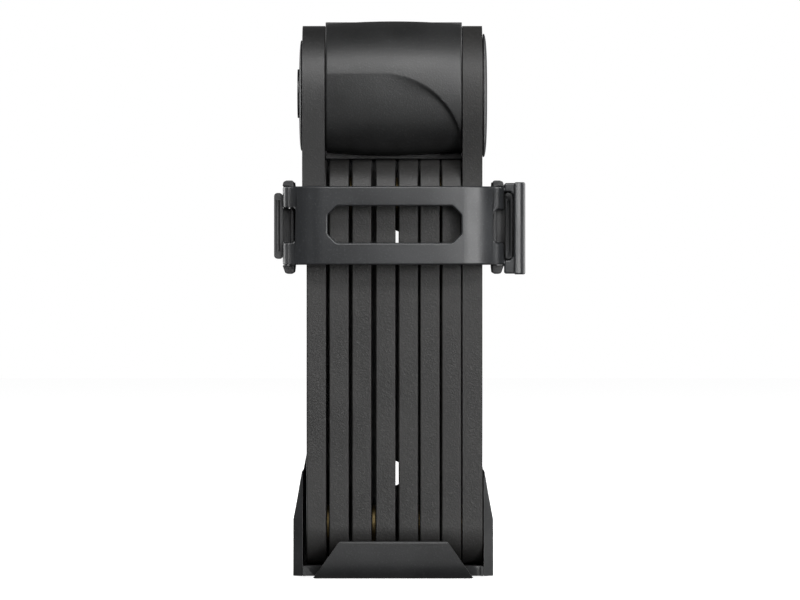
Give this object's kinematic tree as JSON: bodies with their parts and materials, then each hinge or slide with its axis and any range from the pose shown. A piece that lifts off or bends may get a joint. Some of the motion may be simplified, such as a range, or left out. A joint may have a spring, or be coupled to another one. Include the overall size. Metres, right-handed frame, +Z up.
{
  "type": "folding bike lock",
  "caption": "Folding lock of stacked steel links with a barrel-shaped keyed head, held in a frame carrier by a windowed elastomer strap with a pull tab.",
  "frame": {"origin": "on the carrier's flat back rail, midway between its bolt slots", "axes": "+Z up along the folded links, +Y out of the carrier's back towards the bicycle frame, +X to the right seen from the strap's side"},
  "size_m": [0.0688, 0.0361, 0.1527],
  "materials": {
    "carrier_plastic": "fine moulded grain",
    "strap_rubber": "satin moulded elastomer",
    "link_coat": "textured powder coat",
    "cover_plastic": "fine moulded grain",
    "side_plastic": "fine moulded grain",
    "cap_plastic": "satin",
    "rivet_steel": "black zinc",
    "washer_brass": "dull",
    "case_metal": "plain",
    "cylinder_brass": "machined",
    "bright_steel": "zinc"
  },
  "bodies": {
    "carrier": {"carrier": "carrier_plastic", "strap_left_end": "strap_rubber"},
    "strap": {"strap": "strap_rubber"},
    "link_1": {"link_1": "link_coat", "link_rivet_1": "rivet_steel", "link_washer_1": "washer_brass"},
    "link_2": {"link_2": "link_coat", "link_rivet_2": "rivet_steel", "link_washer_2": "washer_brass"},
    "link_3": {"link_3": "link_coat", "link_rivet_3": "rivet_steel", "link_washer_3": "washer_brass"},
    "link_4": {"link_4": "link_coat", "link_rivet_4": "rivet_steel", "link_washer_4": "washer_brass"},
    "link_5": {"link_5": "link_coat", "link_rivet_5": "rivet_steel", "link_washer_5": "washer_brass"},
    "link_6": {"link_6": "link_coat", "link_rivet_6": "rivet_steel", "link_washer_6": "washer_brass"},
    "link_7": {"link_7": "link_coat", "link_rivet_7": "rivet_steel", "link_washer_7": "washer_brass"},
    "link_8": {"link_8": "link_coat", "right_cap": "cap_plastic"},
    "head": {"lock_body": "case_metal", "front_cover": "cover_plastic", "rear_cover": "cover_plastic", "cover_screw_1": "bright_steel", "cover_screw_2": "bright_steel", "left_side": "side_plastic", "left_cap": "cap_plastic", "head_pivot_rivet": "rivet_steel", "keyhole_flap_pin": "bright_steel", "cylinder_shell": "cylinder_brass"},
    "keyhole_flap": {"keyhole_flap": "cap_plastic"},
    "cylinder": {"cylinder_plug": "cylinder_brass", "cylinder_cam": "bright_steel"},
    "bolt": {"locking_bolt": "bright_steel"}
  },
  "joints": [
    {"name": "lock_lift", "type": "slide", "parent": "carrier", "child": "link_1", "axis": [0, 0, 1], "range_m": [0, 0.3]},
    {"name": "strap_swing", "type": "hinge", "parent": "carrier", "child": "strap", "pos_m": [-0.0287, -0.03, 0.0364], "axis": [0, 0, -1], "range_deg": [0, 100]},
    {"name": "link_2_pivot", "type": "hinge", "parent": "link_1", "child": "link_2", "pos_m": [-0.0179, -0.0183, -0.0458], "axis": [1, 0, 0], "range_deg": [-180, 180]},
    {"name": "link_3_pivot", "type": "hinge", "parent": "link_2", "child": "link_3", "pos_m": [-0.0117, -0.0183, 0.0443], "axis": [1, 0, 0], "range_deg": [-180, 180]},
    {"name": "link_4_pivot", "type": "hinge", "parent": "link_3", "child": "link_4", "pos_m": [-0.00532, -0.0183, -0.0458], "axis": [1, 0, 0], "range_deg": [-180, 180]},
    {"name": "link_5_pivot", "type": "hinge", "parent": "link_4", "child": "link_5", "pos_m": [0.00105, -0.0183, 0.0443], "axis": [1, 0, 0], "range_deg": [-180, 180]},
    {"name": "link_6_pivot", "type": "hinge", "parent": "link_5", "child": "link_6", "pos_m": [0.0071, -0.0183, -0.0458], "axis": [1, 0, 0], "range_deg": [-180, 180]},
    {"name": "link_7_pivot", "type": "hinge", "parent": "link_6", "child": "link_7", "pos_m": [0.013, -0.0183, 0.0443], "axis": [1, 0, 0], "range_deg": [-180, 180]},
    {"name": "link_8_pivot", "type": "hinge", "parent": "link_7", "child": "link_8", "pos_m": [0.01883, -0.0183, -0.0458], "axis": [1, 0, 0], "range_deg": [-180, 180]},
    {"name": "head_pivot", "type": "hinge", "parent": "link_1", "child": "head", "pos_m": [-0.0215, -0.0183, 0.0443], "axis": [1, 0, 0], "range_deg": [-180, 0]},
    {"name": "keyhole_flap_hinge", "type": "hinge", "parent": "head", "child": "keyhole_flap", "pos_m": [-0.0254, -0.0097, 0.0729], "axis": [0, 0, -1], "range_deg": [0, 95]},
    {"name": "key_turn", "type": "hinge", "parent": "head", "child": "cylinder", "pos_m": [-0.015, -0.0183, 0.0729], "axis": [1, 0, 0], "range_deg": [0, 90]},
    {"name": "bolt_slide", "type": "slide", "parent": "head", "child": "bolt", "axis": [1, 0, 0], "range_m": [0, 0.0046]}
  ],
  "couplings": [
    {"joint": "link_2_pivot", "follows": "lock_lift", "rad_per_m": 0.5236},
    {"joint": "link_3_pivot", "follows": "lock_lift", "rad_per_m": -0.17453},
    {"joint": "link_4_pivot", "follows": "lock_lift", "rad_per_m": 0.40724},
    {"joint": "link_5_pivot", "follows": "lock_lift", "rad_per_m": 0.11636},
    {"joint": "link_6_pivot", "follows": "lock_lift", "rad_per_m": 0.17453},
    {"joint": "link_7_pivot", "follows": "lock_lift", "rad_per_m": 0.05818},
    {"joint": "link_8_pivot", "follows": "lock_lift", "rad_per_m": 0.11636},
    {"joint": "head_pivot", "follows": "lock_lift", "rad_per_m": -4.6542},
    {"joint": "key_turn", "follows": "bolt_slide", "rad_per_m": 341.48}
  ]
}
